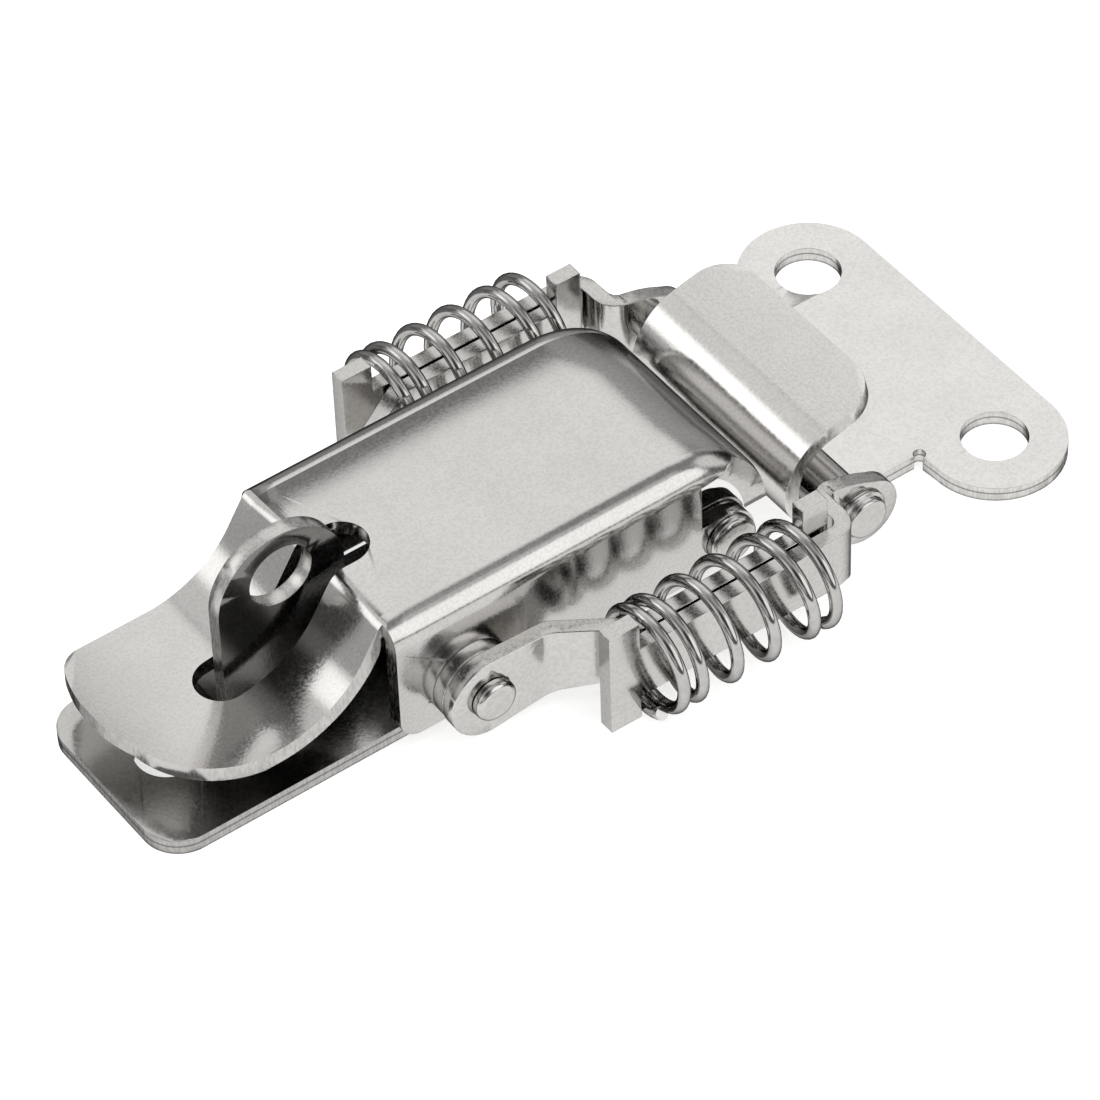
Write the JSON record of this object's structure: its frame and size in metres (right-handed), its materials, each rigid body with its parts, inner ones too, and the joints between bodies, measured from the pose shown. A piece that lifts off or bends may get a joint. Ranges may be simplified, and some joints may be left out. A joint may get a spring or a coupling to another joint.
{
  "type": "toggle latch",
  "caption": "Spring-loaded toggle latch of plated steel with a padlock staple, a scooped lever and a hooked keeper with screw holes.",
  "frame": {"origin": "on the mounting plane, under the middle of the closed latch", "axes": "+X along the latch from the lever's grip to the keeper, +Y across it, +Z away from the mounting plane"},
  "size_m": [0.072, 0.039, 0.0161],
  "materials": {
    "plated_sheet": "bright nickel plate, fine satin grain",
    "plated_strip": "bright nickel plate, smooth",
    "plated_rivet": "bright nickel plate, smooth",
    "spring_wire": "polished plated wire"
  },
  "bodies": {
    "base": {"base_plate": "plated_sheet", "staple_plate": "plated_sheet", "left_staple_rivet": "plated_rivet", "right_staple_rivet": "plated_rivet", "near_pivot_rivet": "plated_rivet", "far_pivot_rivet": "plated_rivet"},
    "lever": {"lever": "plated_sheet", "near_arm_rivet": "plated_rivet", "far_arm_rivet": "plated_rivet", "near_arm_spacer": "plated_rivet", "far_arm_spacer": "plated_rivet"},
    "arms": {"near_arm": "plated_strip", "far_arm": "plated_strip", "near_spring": "spring_wire", "far_spring": "spring_wire"},
    "draw_frame": {"near_draw_leg": "plated_strip", "far_draw_leg": "plated_strip", "hook_pin": "plated_rivet"},
    "keeper": {"keeper_plate": "plated_sheet"}
  },
  "joints": [
    {"name": "lever_hinge", "type": "hinge", "parent": "base", "child": "lever", "pos_m": [0.009, 0, 0.0038], "axis": [0, 1, 0], "range_deg": [0, 95]},
    {"name": "arms_hinge", "type": "hinge", "parent": "lever", "child": "arms", "pos_m": [-0.01245, 0, 0.004], "axis": [0, 1, 0], "range_deg": [-95, 0]},
    {"name": "draw_slide", "type": "slide", "parent": "arms", "child": "draw_frame", "axis": [1, 0, 0], "range_m": [0, 0.004], "stiffness_N_per_m": 3000, "springref_m": -0.0005, "deforming": ["near_spring", "far_spring"]},
    {"name": "keeper_tilt", "type": "hinge", "parent": "draw_frame", "child": "keeper", "pos_m": [0.0178, 0, 0.0032], "axis": [0, -1, 0], "range_deg": [0, 25]}
  ],
  "couplings": [
    {"joint": "arms_hinge", "follows": "lever_hinge", "ratio": -1}
  ]
}
